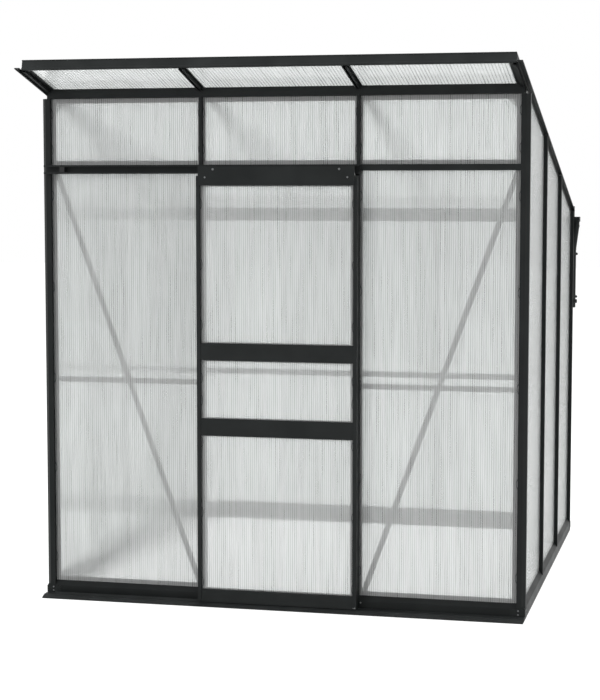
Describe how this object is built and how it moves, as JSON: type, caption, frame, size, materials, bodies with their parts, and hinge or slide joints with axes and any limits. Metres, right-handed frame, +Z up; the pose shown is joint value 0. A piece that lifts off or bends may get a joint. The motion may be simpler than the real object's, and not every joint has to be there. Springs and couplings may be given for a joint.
{
  "type": "greenhouse",
  "caption": "Freestanding greenhouse with a pent roof and front overhang, translucent ribbed panes in a dark metal frame, a sliding front door and a rear gutter with a downpipe.",
  "frame": {"origin": "on the ground, at the middle of the four anchor holes and of the wall plan", "axes": "+Z up, -Y towards the high front wall with the door, +X to the right as seen from the front"},
  "size_m": [1.97, 2.2499, 2.1166],
  "materials": {
    "frame_coat": "satin powder coat",
    "plate_coat": "satin powder coat",
    "fastener_steel": "zinc plated",
    "spring_steel": "dark oiled spring wire",
    "pane": "ribbed, translucent",
    "black_plastic": "matt"
  },
  "bodies": {
    "frame": {"base_front": "frame_coat", "base_back": "frame_coat", "base_left": "frame_coat", "base_right": "frame_coat", "base_corner_brackets": "plate_coat", "base_screws": "fastener_steel", "door_sill": "plate_coat", "corner_post_front_left": "frame_coat", "corner_post_front_right": "frame_coat", "corner_post_back_left": "frame_coat", "corner_post_back_right": "frame_coat", "mullion_front_left": "frame_coat", "mullion_front_right": "frame_coat", "side_bars_left": "frame_coat", "side_bars_right": "frame_coat", "back_bars": "frame_coat", "transom_front": "frame_coat", "top_beam_front": "frame_coat", "eave_beam_back": "frame_coat", "rafter_left": "frame_coat", "rafter_right": "frame_coat", "roof_bars": "frame_coat", "roof_fascia": "plate_coat", "front_braces": "plate_coat", "diagonal_braces": "plate_coat", "back_brace": "plate_coat", "corner_gussets": "plate_coat", "frame_bolts": "fastener_steel", "door_track": "plate_coat", "track_stops": "black_plastic", "gutter": "plate_coat", "downpipe": "plate_coat", "pipe_clips": "black_plastic", "glazing_front_lower": "pane", "glazing_front_upper": "pane", "glazing_left": "pane", "glazing_right": "pane", "glazing_back": "pane", "glazing_roof": "pane", "glazing_clips": "spring_steel"},
    "door": {"door_stile_left": "plate_coat", "door_stile_right": "plate_coat", "door_head": "plate_coat", "door_cross_rails": "plate_coat", "door_foot_rail": "plate_coat", "door_panes": "pane", "door_clips": "spring_steel", "door_screws": "fastener_steel", "door_seals": "black_plastic", "roller_axles": "fastener_steel"},
    "roller_left": {"roller_left": "black_plastic"},
    "roller_right": {"roller_right": "black_plastic"}
  },
  "joints": [
    {"name": "door_slide", "type": "slide", "parent": "frame", "child": "door", "axis": [-1, 0, 0], "range_m": [0, 0.6]},
    {"name": "roller_left_spin", "type": "hinge", "parent": "door", "child": "roller_left", "pos_m": [-0.248, -0.9755, 1.7048], "axis": [0, -1, 0], "continuous": true},
    {"name": "roller_right_spin", "type": "hinge", "parent": "door", "child": "roller_right", "pos_m": [0.248, -0.9755, 1.7048], "axis": [0, -1, 0], "continuous": true}
  ],
  "couplings": [
    {"joint": "roller_left_spin", "follows": "door_slide", "rad_per_m": 100},
    {"joint": "roller_right_spin", "follows": "door_slide", "rad_per_m": 100}
  ]
}
